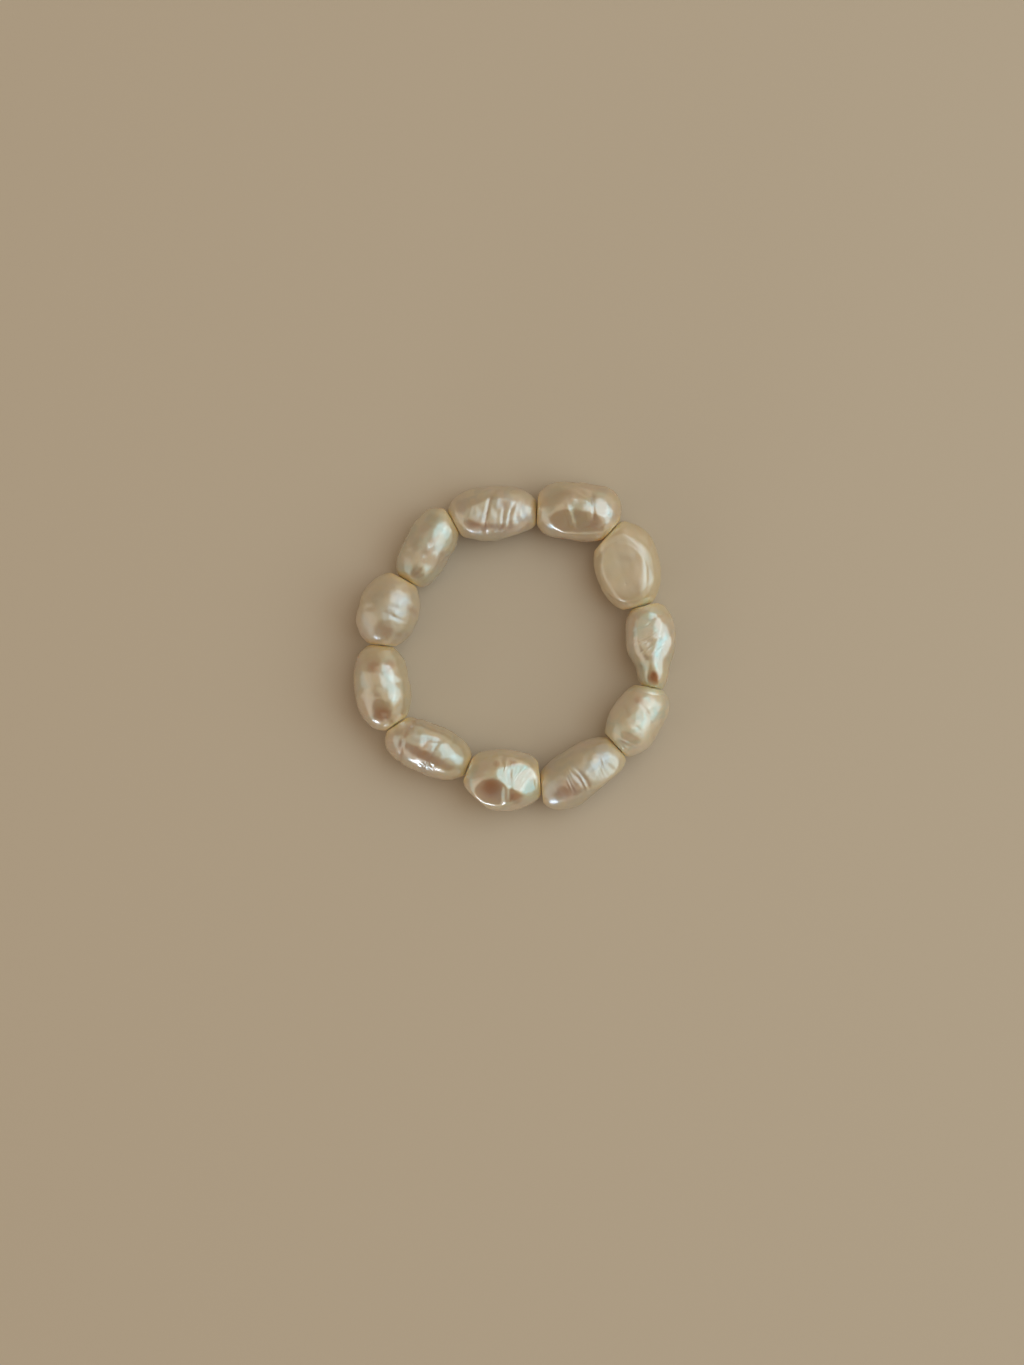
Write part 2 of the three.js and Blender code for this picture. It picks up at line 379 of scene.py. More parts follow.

# %% [markdown]
# ## The eleven pearls
# No two pearls of the real ring are alike. Random numbers could give eleven shapes at once, but not these
# eleven. So each pearl has a row of its own: the one that its solid has, so that the fine skin lies where
# the solid does, with the small marks added. `middle` is its place in the ring, `turn` the way its long
# axis points, and `rest` how much its underside is worn flat. A lobe is (along, across, length, width,
# height, squareness), and a flat faces a direction in degrees from the long axis, tipped up, at a
# distance from the middle. What `marks` press in is also darker and more amber: painted shade in the
# folds. `steps` and `facets` shape the skin and leave its colour. The spots listed last, as (east, north,
# size, strength), turn it darker and more amber too: some are real stains, the others painted dark
# reflections and painted golden shade. `look` names one of the nacres further on, and `slot` the finish
# of the solid.

# %% The string
CORD_HEIGHT = 2.15      # of the cord's middle above the floor, the same all the way round
CORD_DIAMETER = 0.5
DRILL_DIAMETER = 0.9
PEARL_GAP = 0.05        # free space between the ends of two neighbouring pearls
LOBE_WIDTH = 3          # the place of the width in a lobe's numbers
LOBE_HEIGHT = 4         # and of the height
MEETING_POINTS = np.array([
    (1.73, 10.8), (7.9, 9.42), (10.1, 3.2), (10.95, -3.25), (8.25, -8.15), (2.04, -10.8),
    (-3.72, -9.6), (-9.45, -6.2), (-10.5, 0.1), (-8.55, 5.2), (-4.95, 9.95),
])
print("meeting points:", len(MEETING_POINTS))

# %% Pearls one to six, down the right-hand side
PEARLS = [
    # 1: a blunt barrel, pressed flat on both sides of a short ridge
    dict(middle=(4.95, 10.57), turn=-4, rest=0.04, slot="nacre_cream", look="cream",
         lobes=[(0, 0, 6.7, 4.65, 4.5, 2.8)],
         facets=[(-1.25, -0.6, 2.11, 250, 19), (1.65, -0.92, 1.94, 265, 24), (1.9, 0.4, 2.0, 20, 18)],
         marks=[crease(-0.65, -0.5, 106, 1.0, 0.24, -0.085),
                crease(1.15, 0.0, 94, 1.2, 0.42, 0.04),
                crease(1.2, 0.2, 96, 0.9, 0.15, 0.045),
                crease(-0.3, 1.35, -2, 2.1, 0.35, 0.045, bend=-0.13),
                crease(0.95, -1.25, 15, 0.9, 0.16, 0.02)]),
    # 2: the broad matt one, whose flat face has two low terraces round it
    dict(middle=(8.85, 6.3), turn=-77, rest=0.22, slot="nacre_matte", look="matte",
         lobes=[(0, 0, 7.1, 5.1, 4.3, 2.2)], flats=[(-100, 80, 1.64)],
         steps=[terrace(-0.35, -0.55, -75, 4.7, 3.8, 0.05, 0.3),
                terrace(-0.15, -0.3, -76, 5.7, 4.6, 0.06, 0.3)],
         marks=[dimple(0.55, 2.35, 0.18, -0.02),
                dimple(-0.2, -1.4, 0.07, 0.03)]),
    # 3: two lobes grown together, the small one with a brown spot
    dict(middle=(10.7, -0.05), turn=-86, rest=0.04, slot="nacre_cream", look="green",
         lobes=[(-0.9, 0, 5.3, 3.95, 4.1, 2.4), (1.4, 0, 4.3, 2.5, 3.4, 2.4)],
         facets=[(-0.15, 1.1, 1.76, 130, 5), (0.75, -1.3, 1.55, -8, 26), (0.2, -2.35, 1.53, 256, 22)],
         marks=[crease(0.2, 2.45, 15, 1.2, 0.16, 0.025),
                crease(1.3, 1.35, -62, 0.9, 0.2, 0.035),
                wrinkles(-0.5, 0.7, 38, 1.3, 1.5, 0.3, 0.0045),
                crease(-0.3, -1.9, 84, 0.9, 0.22, -0.03),
                dimple(0.15, -2.35, 0.35, 0.02)],
         stains_and_shade=[(0.2, -2.38, 0.45, 1.0), (0.1, -0.9, 0.3, 0.5)]),
    # 4: a plump milky one, with fine folds at its lower end
    dict(middle=(9.58, -5.72), turn=-122, rest=0.04, slot="nacre_silver", look="silk",
         lobes=[(0, 0, 6.1, 4.15, 4.3, 2.35)],
         steps=[dimple(1.3, 0.5, 1.7, 0.4)],
         marks=[crease(-0.15, -0.6, 150, 0.6, 0.16, 0.012, bend=0.15),
                crease(-0.5, -1.35, 152, 0.8, 0.14, 0.016, bend=0.12),
                crease(-0.85, -1.85, 152, 0.9, 0.13, 0.018, bend=0.1),
                dimple(-0.1, -1.0, 0.5, 0.03),
                crease(0.1, 1.6, 168, 0.8, 0.2, 0.035)],
         stains_and_shade=[(0.1, 1.6, 0.35, 0.35)]),
    # 5: the longest, flattened on its outer side and folded across
    dict(middle=(5.2, -9.95), turn=-149, rest=0.04, slot="nacre_cream", look="pink",
         lobes=[(0, 0, 7.5, 4.4, 4.4, 2.4)], flats=[(99, 0, 1.85)],
         facets=[(1.4, -0.45, 1.84, -20, 24), (1.75, 1.05, 1.97, 30, 15)],
         marks=[crease(-0.2, -0.45, 125, 1.0, 0.15, 0.035, bend=0.15),
                crease(0.2, -0.3, 125, 1.1, 0.16, 0.04, bend=0.15),
                crease(1.4, 1.1, 128, 0.8, 0.2, 0.035),
                crease(2.1, 0.9, 122, 0.9, 0.2, 0.025),
                wrinkles(-0.9, -0.7, 125, 0.9, 1.1, 0.34, 0.009),
                wrinkles(1.7, 0.7, 125, 0.8, 0.9, 0.42, 0.009),
                crease(-0.6, 1.3, 22, 1.3, 0.3, -0.03)],
         stains_and_shade=[(-0.9, -1.0, 0.9, 0.3)]),
    # 6: a stout one of many faces, with a steep ridge between two brown hollows
    dict(middle=(-0.9, -10.45), turn=180, rest=0.04, slot="nacre_silver", look="green",
         lobes=[(0, 0, 6.3, 4.85, 4.6, 2.45)], flats=[(45, 0, 2.5)],
         facets=[(-1.2, -0.6, 2.21, 246, 18), (0.95, -1.35, 1.87, 255, 26), (1.35, 0.0, 2.11, 8, 19),
                 (1.9, -1.1, 1.72, -10, 27), (-0.1, 0.75, 2.17, 30, 15)],
         marks=[crease(0.57, 0.0, 92, 1.7, 0.2, 0.045),
                crease(0.2, -1.1, 88, 0.75, 0.25, -0.12),
                wrinkles(1.5, 0.6, 60, 0.8, 0.8, 0.28, 0.007, fan=0.25),
                wrinkles(0.3, 1.1, 92, 0.4, 1.0, 0.3, 0.006),
                dimple(-1.1, -0.35, 0.8, 0.05),
                dimple(1.0, -1.4, 0.5, 0.04)],
         # spots: a real amber patch, a painted dark reflection in the lower right hollow, and painted
         # golden shade on the top rim
         stains_and_shade=[(-0.95, -0.6, 0.8, 0.7), (1.0, -1.4, 0.45, 0.6),
                 (-0.5, 1.3, 0.25, 0.5), (0.9, 1.3, 0.25, 0.5)]),
]
print("pearls so far:", len(PEARLS))

# %% Pearls seven to eleven, up the left-hand side
PEARLS += [
    # 7: a slim barrel with a waist cut all round near one end
    dict(middle=(-6.75, -8.0), turn=156, rest=0.04, slot="nacre_cream", look="cream",
         lobes=[(0, 0, 7.1, 4.0, 4.2, 2.4)],
         marks=[crease(-2.15, 0.2, 76, 9.0, 0.2, 0.08, bend=-0.12, ring=True),
                crease(0.45, -0.15, 62, 0.6, 0.16, 0.03),
                dimple(0.65, 0.7, 0.25, 0.03),
                crease(-0.1, 0.75, -8, 1.2, 0.2, 0.03),
                wrinkles(-0.3, -1.45, 100, 0.35, 1.1, 0.3, 0.013)],
         # the spot is a painted dark reflection
         stains_and_shade=[(-0.4, -0.6, 0.7, 0.25)]),
    # 8: a long egg, with a curved fold at its upper end and a brown facet at its lower
    dict(middle=(-10.4, -3.15), turn=98, rest=0.04, slot="nacre_cream", look="cream",
         lobes=[(0, 0, 6.9, 4.4, 4.3, 2.3)],
         facets=[(0.4, 0.1, 2.085, 15, 15), (0.05, -2.25, 1.66, 258, 26)],
         marks=[crease(0.0, 1.15, 0, 0.8, 0.24, 0.05, bend=0.5),
                dimple(0.0, 1.7, 0.35, -0.03),
                crease(0.75, -0.9, 100, 1.2, 0.25, -0.02),
                dimple(1.0, -2.3, 0.2, 0.02)],
         # spots: painted dark reflections, one on the brown facet and two at the upper end
         stains_and_shade=[(0.1, -2.2, 0.65, 0.7), (-0.55, 1.55, 0.45, 0.6), (0.65, 1.7, 0.42, 0.7)]),
    # 9: the roundest, with one short crease
    dict(middle=(-9.9, 2.8), turn=70, rest=0.04, slot="nacre_silver", look="satin",
         lobes=[(0, 0, 6.0, 4.75, 4.6, 2.15)],
         facets=[(-0.29, -1.57, 1.955, 265, 24)],
         marks=[crease(0.75, -0.65, -25, 0.6, 0.14, 0.035),
                crease(0.2, 0.0, 40, 0.7, 0.3, 0.03)],
         # the spot is a painted dark reflection on the facet
         stains_and_shade=[(0.0, -1.6, 0.55, 0.3)]),
    # 10: the narrowest, blunt and nearly plain
    dict(middle=(-6.8, 7.8), turn=62, rest=0.04, slot="nacre_silver", look="grey",
         lobes=[(0, 0, 6.5, 3.75, 3.9, 2.8)],
         marks=[crease(1.0, 1.35, -10, 0.7, 0.15, 0.015),
                crease(-0.75, -1.95, 35, 0.35, 0.12, 0.04),
                crease(0.3, 1.5, 150, 0.5, 0.14, 0.012)],
         # the spot is a painted dark reflection
         stains_and_shade=[(0.15, -0.75, 0.75, 0.3)]),
    # 11: a long one, with a deep curved crease and a comb of wide folds
    dict(middle=(-1.67, 10.4), turn=3, rest=0.04, slot="nacre_cream", look="pink",
         lobes=[(0, 0, 7.2, 4.35, 4.2, 2.2)], flats=[(-73, 0, 2.13)],
         facets=[(0.9, 0.1, 1.88, 100, 3)],
         marks=[crease(-0.6, -0.05, 80, 1.6, 0.2, 0.09, bend=-0.12),
                wrinkles(1.4, -0.1, 86, 1.2, 1.7, 0.65, 0.026),
                wrinkles(-2.0, 0.0, 95, 0.9, 0.8, 0.5, 0.006),
                crease(-2.1, 0.85, 8, 1.0, 0.2, 0.03)],
         # the spot is a painted dark reflection
         stains_and_shade=[(-1.6, -0.9, 0.5, 0.4)]),
]
print("pearls:", len(PEARLS), "marks:", sum(len(row["marks"]) for row in PEARLS))

# %% [markdown]
# ## The form of a pearl
# A stretched ball, pushed about with modifiers, would make a pearl but would not meet its neighbours
# exactly. Instead a field says of any point whether it is inside: lobes, flats and neighbours just join
# it. Seen from the middle of its drill hole a pearl hides no part of its own skin, so the whole skin is
# one distance for each direction. Halving the way between the middle and far outside, some twenty-five
# times, closes in on it for every direction at once.

# %% Fields: below 0 inside, above 0 outside
LOBE_BLEND = 0.12       # softness of the waist where two lobes of a pearl have grown together
FLAT_BLEND = 0.03       # softness of a flat's edge
END_BLEND = 0.012       # softness of the edge where a pearl faces its neighbour
FIELD_SIZE = 2.2        # a typical pearl radius, which turns a distance into a share of the pearl


def soft_min(values, blend):
    """The smallest value, with rounded corners: least - blend ln(sum exp((least - value) / blend))."""
    stack = np.stack(values)
    least = stack.min(axis=0)
    return least - blend * np.log(np.exp((least - stack) / blend).sum(axis=0))


def soft_max(values, blend):
    """The largest value, with rounded corners."""
    return -soft_min([-value for value in values], blend)


def lobe_field(lobe, place):
    """A superellipse along the lobe and an ellipse across it, as a norm less one."""
    along, across, length, width, height, square = lobe
    end = np.abs((place[..., 0] - along) / (length / 2))
    side = np.hypot((place[..., 1] - across) / (width / 2), place[..., 2] / (height / 2))
    return (end**square + side**square) ** (1 / square) - 1


def pearl_field(row, place):
    """The lobes grown together by a soft minimum, then cut by the flats with a soft maximum."""
    body = soft_min([lobe_field(lobe, place) for lobe in row["lobes"]], LOBE_BLEND)
    cuts = []
    for facing, tip, out in row.get("flats", ()):
        level = math.cos(math.radians(tip))
        normal = (math.cos(math.radians(facing)) * level, math.sin(math.radians(facing)) * level,
                  math.sin(math.radians(tip)))
        cuts.append((place @ np.array(normal) - out) / FIELD_SIZE)
    return soft_max([body, *cuts], FLAT_BLEND)


print("field at a pearl's middle:", pearl_field(PEARLS[0], np.zeros((1, 3))))

# %% [markdown]
# ## Drilled and threaded
# On the real ring the elastic pulls each pearl against the next, end to end. The places where they meet
# could be found by letting solid pearls settle, but they are few and known. So they are given: two of
# them make a pearl's drill hole, and the plane that halves the bend between two holes keeps both
# pearls on their own sides. Each pearl is worked out along its hole, outwards and up.

# %% Directions and the distance to the skin
HALVINGS = 26
FAR = 6.0               # no skin is further than this from the middle of its hole


def unit(vector):
    """The same direction, one long."""
    return vector / np.linalg.norm(vector)


def threading(index):
    """The middle of a pearl's drill hole, its own three directions, and its two end planes."""
    count = len(MEETING_POINTS)
    heights = np.full((count, 1), CORD_HEIGHT)
    points = np.hstack([MEETING_POINTS, heights])
    before, start, end, after = (points[(index + step) % count] for step in (-1, 0, 1, 2))
    own = unit(end - start)
    axes = np.stack([own, np.cross((0, 0, 1), own), (0, 0, 1)])
    ends = [(-unit(own + unit(start - before)), start), (unit(own + unit(after - end)), end)]
    return (start + end) / 2, axes, ends


def pearl_middle(row):
    """The middle of a pearl's own form: half its height up, less what is worn off its underside."""
    height = max(lobe[LOBE_HEIGHT] for lobe in row["lobes"])
    return np.array([*row["middle"], height / 2 - row["rest"]])


def skin_distance(row, hole, ends, rays):
    """How far the skin is from the hole's middle along each ray, by halving, without the marks."""
    middle = pearl_middle(row)
    turn = math.radians(row["turn"])
    own = np.array([(math.cos(turn), math.sin(turn), 0), (-math.sin(turn), math.cos(turn), 0), (0, 0, 1)])
    near = np.zeros(rays.shape[:-1])
    far = np.full(rays.shape[:-1], FAR)
    for _ in range(HALVINGS):
        half = (near + far) / 2
        place = hole + half[..., None] * rays
        past = [((place - point) @ normal + PEARL_GAP / 2) / FIELD_SIZE for normal, point in ends]
        outside = soft_max([pearl_field(row, (place - middle) @ own.T), *past], END_BLEND) > 0
        near = np.where(outside, near, half)
        far = np.where(outside, half, far)
    return near


hole, axes, ends = threading(0)
distance = skin_distance(PEARLS[0], hole, ends, axes)
print("pearl_01 is", distance.round(2), "mm from its hole's middle to its end, its outer side and its top")

# %% [markdown]
# ## Small swellings all over
# Between its marks a real pearl is never a clean ellipsoid. Ready-made noise on a displacement modifier
# would do, but would not be known to the colour. So a handful of long, faint waves in random directions
# gives that slight unevenness, and short scars, each a small crease on a random side, reach the
# flanks and the underside too. A seed for each pearl keeps them the same every time.

# %% Seeded waves and scars
WAVES = 12
WAVE_BANDS = [(1.4, 3.4, 0.006), (0.5, 1.1, 0.0034)]        # shortest, longest, steepness
SCARS = 6
SCAR_REACH = (0.5, 1.1)
SCAR_WIDTH = (0.16, 0.3)
SCAR_DEPTH = (0.02, 0.045)
SCAR_SEED = 100         # keeps the scars' draws apart from the swellings' own


def swellings(seed, place):
    """The sum of faint plane waves, each steepness times length times sin(2 pi place . way / length)."""
    draw = np.random.default_rng(seed)
    total = np.zeros(place.shape[:-1])
    for shortest, longest, steepness in WAVE_BANDS:
        ways = draw.normal(size=(WAVES, 3))
        ways /= np.linalg.norm(ways, axis=1, keepdims=True)
        lengths = draw.uniform(shortest, longest, WAVES)
        phases = draw.uniform(0, 2 * np.pi, WAVES)
        total += np.sin(2 * np.pi * place @ (ways / lengths[:, None]).T + phases) @ (lengths * steepness)
    return total


def scars(seed, place, far_out):
    """Short creases on any side, each depth times exp(-(off its plane / width)^2 - (away / reach)^2)."""
    draw = np.random.default_rng(seed + SCAR_SEED)
    pressed = np.zeros(place.shape[:-1])
    for _ in range(SCARS):
        way = unit(draw.normal(size=3))
        across = unit(np.cross(way, draw.normal(size=3)))
        centre = way * far_out
        reach = draw.uniform(*SCAR_REACH)
        width = draw.uniform(*SCAR_WIDTH)
        depth = draw.uniform(*SCAR_DEPTH)
        off = (place - centre) @ across
        away = np.linalg.norm(place - centre, axis=-1)
        pressed += depth * np.exp(-((off / width) ** 2) - (away / reach) ** 2)
    return pressed


print("swelling at a middle:", swellings(1, np.zeros((1, 3))).round(3))

# %% [markdown]
# ## The skin as a grid
# A ball's grid has a pole at each end, where its faces crowd and pinch. A drilled pearl is a ring in the
# mathematical sense, and so is this grid: its columns go round the drill hole, its rows go from one
# mouth of the hole to the other and back through it, and there is no pole anywhere. Columns lie closer
# together on the upper side, where the fine marks are. The hole is only begun at each mouth, and one
# long row of faces joins the two beginnings.

# %% Mouths and beginnings of the drill hole
COLUMNS = 196
MOUTH_LIP = 0.06        # the drill hole's worn edge
MOUTH = DRILL_DIAMETER / 2 + MOUTH_LIP
FIRST_TILT = 0.15       # radians, a first guess that each step makes better
MOUTH_STEPS = 4
BORE_DEPTHS = (0.05, 0.16)      # how far in the two rings of a beginning lie


def polar_rays(tilt, around):
    """Unit rays in the pearl's own directions: tilt from the hole's line, around it from outwards to up."""
    tilt, around = np.broadcast_arrays(tilt, around)
    return np.stack([np.cos(tilt), np.sin(tilt) * np.cos(around), np.sin(tilt) * np.sin(around)], axis=-1)


def mouth_tilts(row, threaded, around, side):
    """The tilts at which the skin is MOUTH from the hole's line, all round one end. Each step takes the
    skin's distance at the last tilts and turns them to arcsin(MOUTH / distance)."""
    hole, axes, ends = threaded
    tilt = np.full(COLUMNS, abs(side - FIRST_TILT))
    for _ in range(MOUTH_STEPS):
        distance = skin_distance(row, hole, ends, polar_rays(tilt, around) @ axes)
        tilt = abs(side - np.arcsin(MOUTH / distance))
    return tilt


def bore_rings(points, around):
    """Two rings inside each mouth, on from the last row of points and back to the first."""
    across = np.stack([np.cos(around), np.sin(around)], axis=-1) * DRILL_DIAMETER / 2
    rings = []
    for mouth, way, depths in ((points[-1], -1, BORE_DEPTHS), (points[0], 1, BORE_DEPTHS[::-1])):
        rings += [np.column_stack([mouth[:, 0] + way * depth, across]) for depth in depths]
    return np.stack(rings)


tilts = mouth_tilts(PEARLS[0], threading(0), np.zeros(COLUMNS), 0.0)
print("pearl_01's hole opens", round(math.degrees(tilts[0]), 1), "degrees off its line")

# %% Work out a pearl's skin
ROWS = 196
UPPER_CROWDING = 0.4    # radians by which columns are drawn towards the upper side
END_FADE = 0.4          # the marks fade out over this distance to the next pearl
PAINTED_SHADE_IN_FOLDS = 4.0
JOINT_REACH = 0.2


def amber_and_shade_at(row, pressed, east, north, up):
    """How far the nacre turns darker and golden brown, from 0 to 1 in all: painted shade in the folds, a
    fixed share for each millimetre pressed in, and exp(-(away / size)^4) times strength for each spot. Some
    spots are the pearl's own colour, the others painted dark reflections and painted golden shade."""
    amber_and_shade = PAINTED_SHADE_IN_FOLDS * np.clip(pressed, 0, None)
    for stain_east, stain_north, size, strength in row.get("stains_and_shade", ()):
        away = np.hypot(east - stain_east, north - stain_north)
        amber_and_shade = amber_and_shade + strength * upper(up) * np.exp(-((away / size) ** 4))
    return np.clip(amber_and_shade, 0, 1)


def pearl_skin(index):
    """The grid of points in ring millimetres, and two attributes of each from 0 to 1: how far the nacre is
    turned darker and golden brown there, by painted shade, painted dark reflections and its own spots, and
    how near the next pearl, exp(-distance / JOINT_REACH), which sets the painted golden light at a joint.
    The marks fade out towards the ends, so that neighbours still meet, and the grid is kept inside the
    solids' box."""
    row = PEARLS[index]
    hole, axes, ends = threaded = threading(index)
    turns = np.linspace(0, 2 * np.pi, COLUMNS, endpoint=False)
    around = turns + UPPER_CROWDING * np.cos(turns)
    first, last = (mouth_tilts(row, threaded, around, side) for side in (np.pi, 0.0))
    share = np.linspace(0, 1, ROWS)[:, None]
    rays = polar_rays(first * (1 - share) + last * share, around)
    distance = skin_distance(row, hole, ends, rays @ axes)
    skin = hole + distance[..., None] * (rays @ axes)
    place = skin - pearl_middle(row)
    east, north, up = np.moveaxis(place, -1, 0)
    free = np.min([(point - skin) @ normal for normal, point in ends], axis=0)
    full = np.clip(free / END_FADE, 0, 1) ** 2
    half_width = row["lobes"][0][LOBE_WIDTH] / 2
    pressed = sum(mark(east, north, up) for mark in row["marks"]) + scars(index, place, half_width)
    lowered = pressed + sum(step(east, north, up) for step in row.get("steps", ()))
    lowered = lowered + faceted(row.get("facets", ()), east, north, up)
    deep = distance - full * (lowered + swellings(index, place))
    points = rays * deep[..., None]
    rings = bore_rings(points, around)
    grid = np.concatenate([points, rings]) @ axes + hole
    inside = np.ones(rings.shape[:2])
    amber_and_shade = amber_and_shade_at(row, pressed, east, north, up)
    joint = np.exp(-np.clip(free, 0, None) / JOINT_REACH)
    values = {"amber_and_shade": np.concatenate([amber_and_shade, inside]), "joint": np.concatenate([joint, inside])}
    return np.clip(grid, np.array(cad_low) / MM, np.array(cad_high) / MM), values


grid, values = pearl_skin(0)
print("pearl_01 grid", grid.shape, "amber on average", round(float(values["amber_and_shade"].mean()), 3))

# %% [markdown]
# ## From a grid to a mesh
# Blender could be given the faces one by one, but a grid says them all at once: each cell is a quad
# between a row and the next. The pearls and the cord both close on themselves in both directions, so
# the last row and column join the first, and one function serves them all. The volume inside, summed
# over the quads, is negative when they are inside out, and then they are turned.

# %% Put a closed grid into a mesh
def closed_mesh(name, points, values):
    """A smooth quad mesh from a grid that closes both ways, with the named values on its points, and
    its volume: the sum of a . (b x c) + a . (c x d), over 6, for quads abcd."""
    rows, columns = points.shape[:2]
    number = np.arange(rows * columns).reshape(rows, columns)
    ahead = np.roll(number, -1, axis=0)
    beside = np.roll(number, -1, axis=1), np.roll(ahead, -1, axis=1)
    quads = np.stack([number, *beside, ahead], axis=-1).reshape(-1, 4)
    flat = points.reshape(-1, 3)
    a, b, c, d = (flat[quads[:, corner]] for corner in range(4))
    volume = (a * (np.cross(b, c) + np.cross(c, d))).sum() / 6
    if volume < 0:
        quads = quads[:, ::-1]
    mesh = bpy.data.meshes.new(name)
    mesh.vertices.add(len(flat))
    mesh.vertices.foreach_set("co", (flat * MM).ravel())
    mesh.loops.add(quads.size)
    mesh.loops.foreach_set("vertex_index", quads.ravel())
    mesh.polygons.add(len(quads))
    mesh.polygons.foreach_set("loop_start", np.arange(len(quads)) * 4)
    mesh.update(calc_edges=True)
    mesh.shade_smooth()
    for label, value in values.items():
        attribute = mesh.attributes.new(label, "FLOAT", "POINT")
        attribute.data.foreach_set("value", value.ravel().astype(np.float32))
    return mesh, abs(volume)


def place_piece(name, mesh, material, node):
    """Puts a finished mesh into the scene in place of its solid."""
    piece = bpy.data.objects.new(name, mesh)
    bpy.context.scene.collection.objects.link(piece)
    mesh.materials.append(material)
    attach(piece, "root")
    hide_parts(node)


print("quads in a pearl:", grid.shape[0] * grid.shape[1])

# %% [markdown]
# ## Nacre
# Nacre is thousands of clear platelets over a cream body. A glossy cream paint would give its colour and
# none of its depth. Light goes some way into the real thing and comes back warmer, which is subsurface
# scattering. The platelets give a broad satin shine, the polished outermost ones a sharp gloss, and
# their even thickness the faint green and pink called orient, which a thin film on the shader gives. As
# a film has one thickness all over, two such shaders are mixed by a cloudy mask. Colour drifts slowly
# over a pearl. An attribute of the skin turns it darker and more amber: painted shade where light is
# caught in a fold, real stains, and painted dark reflections and painted golden shade. Right at a joint
# the light goes to and fro between two pearls and turns golden. A shader meets it only a few times, so
# the `joint` attribute paints that light in: the nacre itself is paler and more golden there. Satin
# clouds and a fine grain, a hundredth of a millimetre high, ruffle the gloss. The eleven pearls share
# seven nacres: some more silvery, some more rosy, one nearly matt.

# %% Tones and gloss of the seven nacres
BODY_TONES = {
    "cream": (tone(194, 175, 141), tone(194, 171, 145)),
    "green": (tone(201, 184, 151), tone(201, 180, 155)),
    "grey": (tone(191, 175, 145), tone(190, 171, 148)),
    "pink": (tone(190, 174, 144), tone(191, 170, 148)),
    "silk": (tone(203, 187, 158), tone(203, 185, 162)),
    "satin": (tone(192, 175, 145), tone(192, 172, 148)),
    "matte": (tone(201, 180, 141), tone(200, 177, 142)),
}
AMBER_AND_SHADE_TONE = tone(172, 122, 76)
PAINTED_JOINT_LIGHT = tone(255, 216, 152)
# films in nanometres; share is how much of the skin has the orient film
GLOSS = {
    "cream": dict(rough=0.22, coat=0.4, film=55.0, orient=162.0, share=0.35),
    "green": dict(rough=0.21, coat=0.4, film=55.0, orient=165.0, share=0.65),
    "grey": dict(rough=0.22, coat=0.35, film=57.0, orient=163.0, share=0.45),
    "pink": dict(rough=0.3, coat=0.3, film=57.0, orient=150.0, share=0.3),
    "silk": dict(rough=0.31, coat=0.35, film=60.0, orient=165.0, share=0.6),
    "satin": dict(rough=0.31, coat=0.15, film=55.0, orient=150.0, share=0.2),
    "matte": dict(rough=0.38, coat=0.45, film=55.0, orient=160.0, share=0.1),
}
print("looks:", sorted(GLOSS))

# %% The nacre shader
DRIFT_SIZE = 2.6 * MM
DRIFT_RANGE = (0.38, 0.66)      # the noise values between which the body changes its tone
ORIENT_SIZE = 1.6 * MM
ORIENT_RANGE = (0.42, 0.62)     # and those between which the film changes its thickness
SATIN_SIZE = 0.6 * MM
GRAIN_SIZE = 0.09 * MM
GRAIN_SHARE = 0.2
RUFFLE_HEIGHT = 0.014 * MM
ROUGH_DRIFT = 0.1


def nacre(look):
    """The material of one look: two shaders that differ in their film only, mixed by a cloudy mask."""
    body, drift = BODY_TONES[look]
    gloss = GLOSS[look]
    material = bpy.data.materials.new(f"{look} nacre")
    recipe = Recipe(material)
    place = recipe.node("ShaderNodeTexCoord", {}, {}, output="Object")
    amber_and_shade = recipe.node("ShaderNodeAttribute", {"attribute_name": "amber_and_shade"}, {}, output="Fac")
    joint = recipe.node("ShaderNodeAttribute", {"attribute_name": "joint"}, {}, output="Fac")
    cloud = recipe.ramp(recipe.noise(place, DRIFT_SIZE, detail=3.0, distortion=0.6), *DRIFT_RANGE)
    satin = recipe.noise(place, SATIN_SIZE, detail=3.0)
    grain = recipe.noise(place, GRAIN_SIZE)
    # Painted shade in the folds, painted dark reflections and painted golden shade, with real stains, turn
    # the body darker and more amber here.
    skin = recipe.mix(amber_and_shade, recipe.mix(cloud, body, drift), AMBER_AND_SHADE_TONE)
    # Painted light: near a joint the nacre is paler and more golden, for the light bounced between two
    # pearls.
    skin = recipe.mix(joint, skin, PAINTED_JOINT_LIGHT)
    ruffle = {"Strength": 1.0, "Distance": RUFFLE_HEIGHT, "Height": satin + grain * GRAIN_SHARE}
    bump = recipe.node("ShaderNodeBump", {}, ruffle)
    orient = recipe.ramp(recipe.noise(place, ORIENT_SIZE, distortion=0.8), *ORIENT_RANGE)
    rough = gloss["rough"] + (satin - 0.5) * ROUGH_DRIFT
    shaders = []
    for film in (gloss["film"], gloss["orient"]):
        shaders.append(recipe.node("ShaderNodeBsdfPrincipled", {}, {
            "Base Color": skin,
            "Roughness": rough,
            "IOR": 1.5,
            "Subsurface Weight": 1.0,
            "Subsurface Radius": (1.0, 0.8, 0.55),
            "Subsurface Scale": 2.0 * MM,
            "Coat Weight": gloss["coat"],
            "Coat Roughness": 0.07,
            "Coat IOR": 1.6,
            "Thin Film Thickness": film,
            "Thin Film IOR": 2.2,
            "Normal": bump,
        }))
    mixed = {0: orient * gloss["share"], 1: shaders[0], 2: shaders[1]}
    shader = recipe.node("ShaderNodeMixShader", {}, mixed)
    recipe.node("ShaderNodeOutputMaterial", {}, {"Surface": shader})
    return material


nacres = {look: nacre(look) for look in GLOSS}
print("nacres:", sorted(nacres))

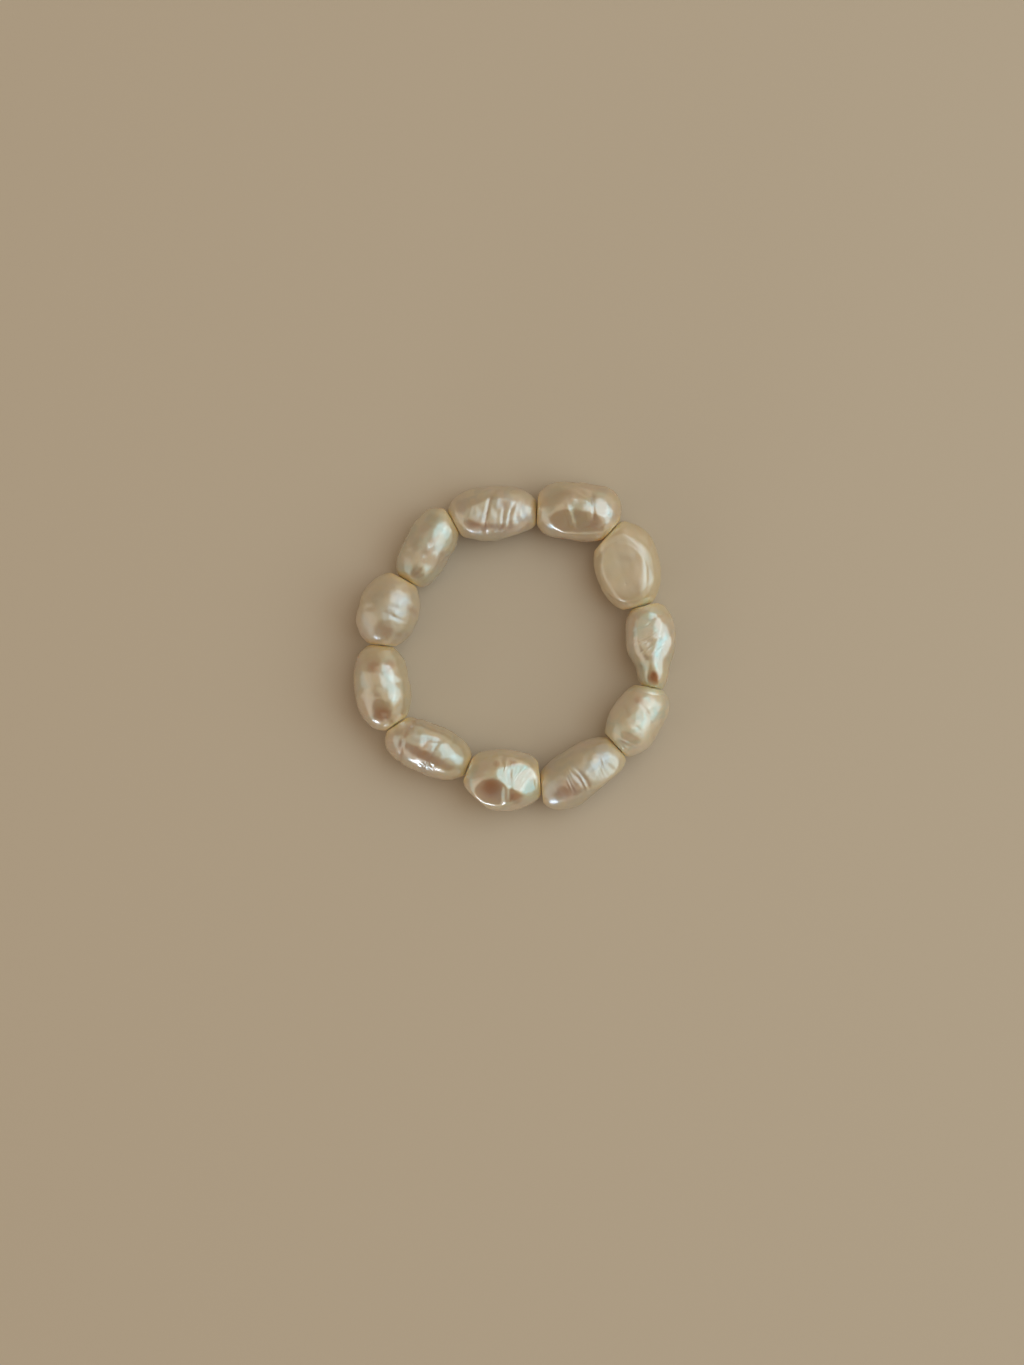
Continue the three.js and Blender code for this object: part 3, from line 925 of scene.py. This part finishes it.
# %% [markdown]
# ## The pearls in their places
# On the real ring each pearl is a piece of its own that only the thread holds. They could be joined into
# one mesh, which would be quicker to handle, but then none could be swapped or given another nacre. So
# each skin becomes a piece, stands for its own solid and takes its own nacre, and its box is compared
# with the solid's. The marks and the smoother roundness move a side by a fifth of a millimetre at most.

# %% Make the pearls
for index, row in enumerate(PEARLS):
    node = f"pearl_{index + 1:02d}"
    grid, values = pearl_skin(index)
    mesh, volume = closed_mesh(f"{node}_skin", grid, values)
    place_piece(f"{node}_skin", mesh, nacres[row["look"]], node)
    low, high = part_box(node)
    off = max(np.abs(grid.min(axis=(0, 1)) - np.array(low) / MM).max(),
              np.abs(grid.max(axis=(0, 1)) - np.array(high) / MM).max())
    print(node, "volume", round(volume, 1), "cubic mm, box", round(float(off), 2), "mm off its solid's")

# %% [markdown]
# ## The elastic cord
# One round clear thread runs straight through each pearl and turns a little where two meet. A curve with
# a bevel would make it, but the grid that serves the pearls makes it too: a circle carried along the
# closed route, whose corners are rounded by a blend of the two straight ways. It shows only as a glint
# in the gaps, and its clear stuff is made hazy so that it can be seen there.

# %% Carry a circle along the cord's route
CORNER = 0.6            # how far from a meeting point the cord starts to turn
CORNER_STEPS = 24
CORD_SIDES = 16


def cord_route():
    """Points along the closed route: each corner is a quadratic curve between its two straight ways."""
    count = len(MEETING_POINTS)
    share = np.linspace(0, 1, CORNER_STEPS, endpoint=False)[:, None]
    route = []
    for index, point in enumerate(MEETING_POINTS):
        back = point + CORNER * unit(MEETING_POINTS[index - 1] - point)
        ahead = point + CORNER * unit(MEETING_POINTS[(index + 1) % count] - point)
        route.append(back * (1 - share) ** 2 + 2 * point * share * (1 - share) + ahead * share**2)
    return np.concatenate(route)


def tube(route, height, radius, sides):
    """A circle of `radius` in the plane across the route at each of its points, all at one height."""
    course = np.roll(route, -1, axis=0) - np.roll(route, 1, axis=0)
    course /= np.linalg.norm(course, axis=1, keepdims=True)
    outward = np.stack([-course[:, 1], course[:, 0]], axis=1)
    around = np.linspace(0, 2 * np.pi, sides, endpoint=False)
    flat = route[:, None] + radius * np.cos(around)[None, :, None] * outward[:, None]
    up = np.broadcast_to(height + radius * np.sin(around), flat.shape[:2])
    return np.dstack([flat, up])


print("points on the route:", len(cord_route()))

# %% Make the cord
HAZE_SIZE = 0.4 * MM
CLEAR_TONE = tone(236, 230, 214)
HAZY_TONE = tone(214, 204, 182)
CLEAR_ROUGHNESS = 0.2
HAZE_ROUGHNESS = 0.2    # added where the haze is thickest


def elastic():
    """Half clear, half hazy, with a slow drift in tone and gloss."""
    material = bpy.data.materials.new("clear elastic")
    recipe = Recipe(material)
    place = recipe.node("ShaderNodeTexCoord", {}, {}, output="Object")
    haze = recipe.noise(place, HAZE_SIZE)
    shader = recipe.node("ShaderNodeBsdfPrincipled", {}, {
        "Base Color": recipe.mix(haze, CLEAR_TONE, HAZY_TONE),
        "Roughness": CLEAR_ROUGHNESS + haze * HAZE_ROUGHNESS,
        "Transmission Weight": 0.5,
        "IOR": 1.5,
    })
    recipe.node("ShaderNodeOutputMaterial", {}, {"Surface": shader})
    return material


thread = tube(cord_route(), CORD_HEIGHT, CORD_DIAMETER / 2, CORD_SIDES)
mesh, volume = closed_mesh("elastic_thread", thread, {})
place_piece("elastic_thread", mesh, elastic(), "elastic_cord")
print("cord volume", round(volume, 2), "cubic mm")

# %% [markdown]
# ## The last look at sizes
# Finer skins must not make the ring any larger. Its size could be taken off the meshes by hand, but the
# box of the solids and the box of what is shown say it all, so the one is printed at the start and the
# other here.

# %% Print the shown box and finish
low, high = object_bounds()
print("shown box in mm:", [round(v / MM, 2) for v in high - low])
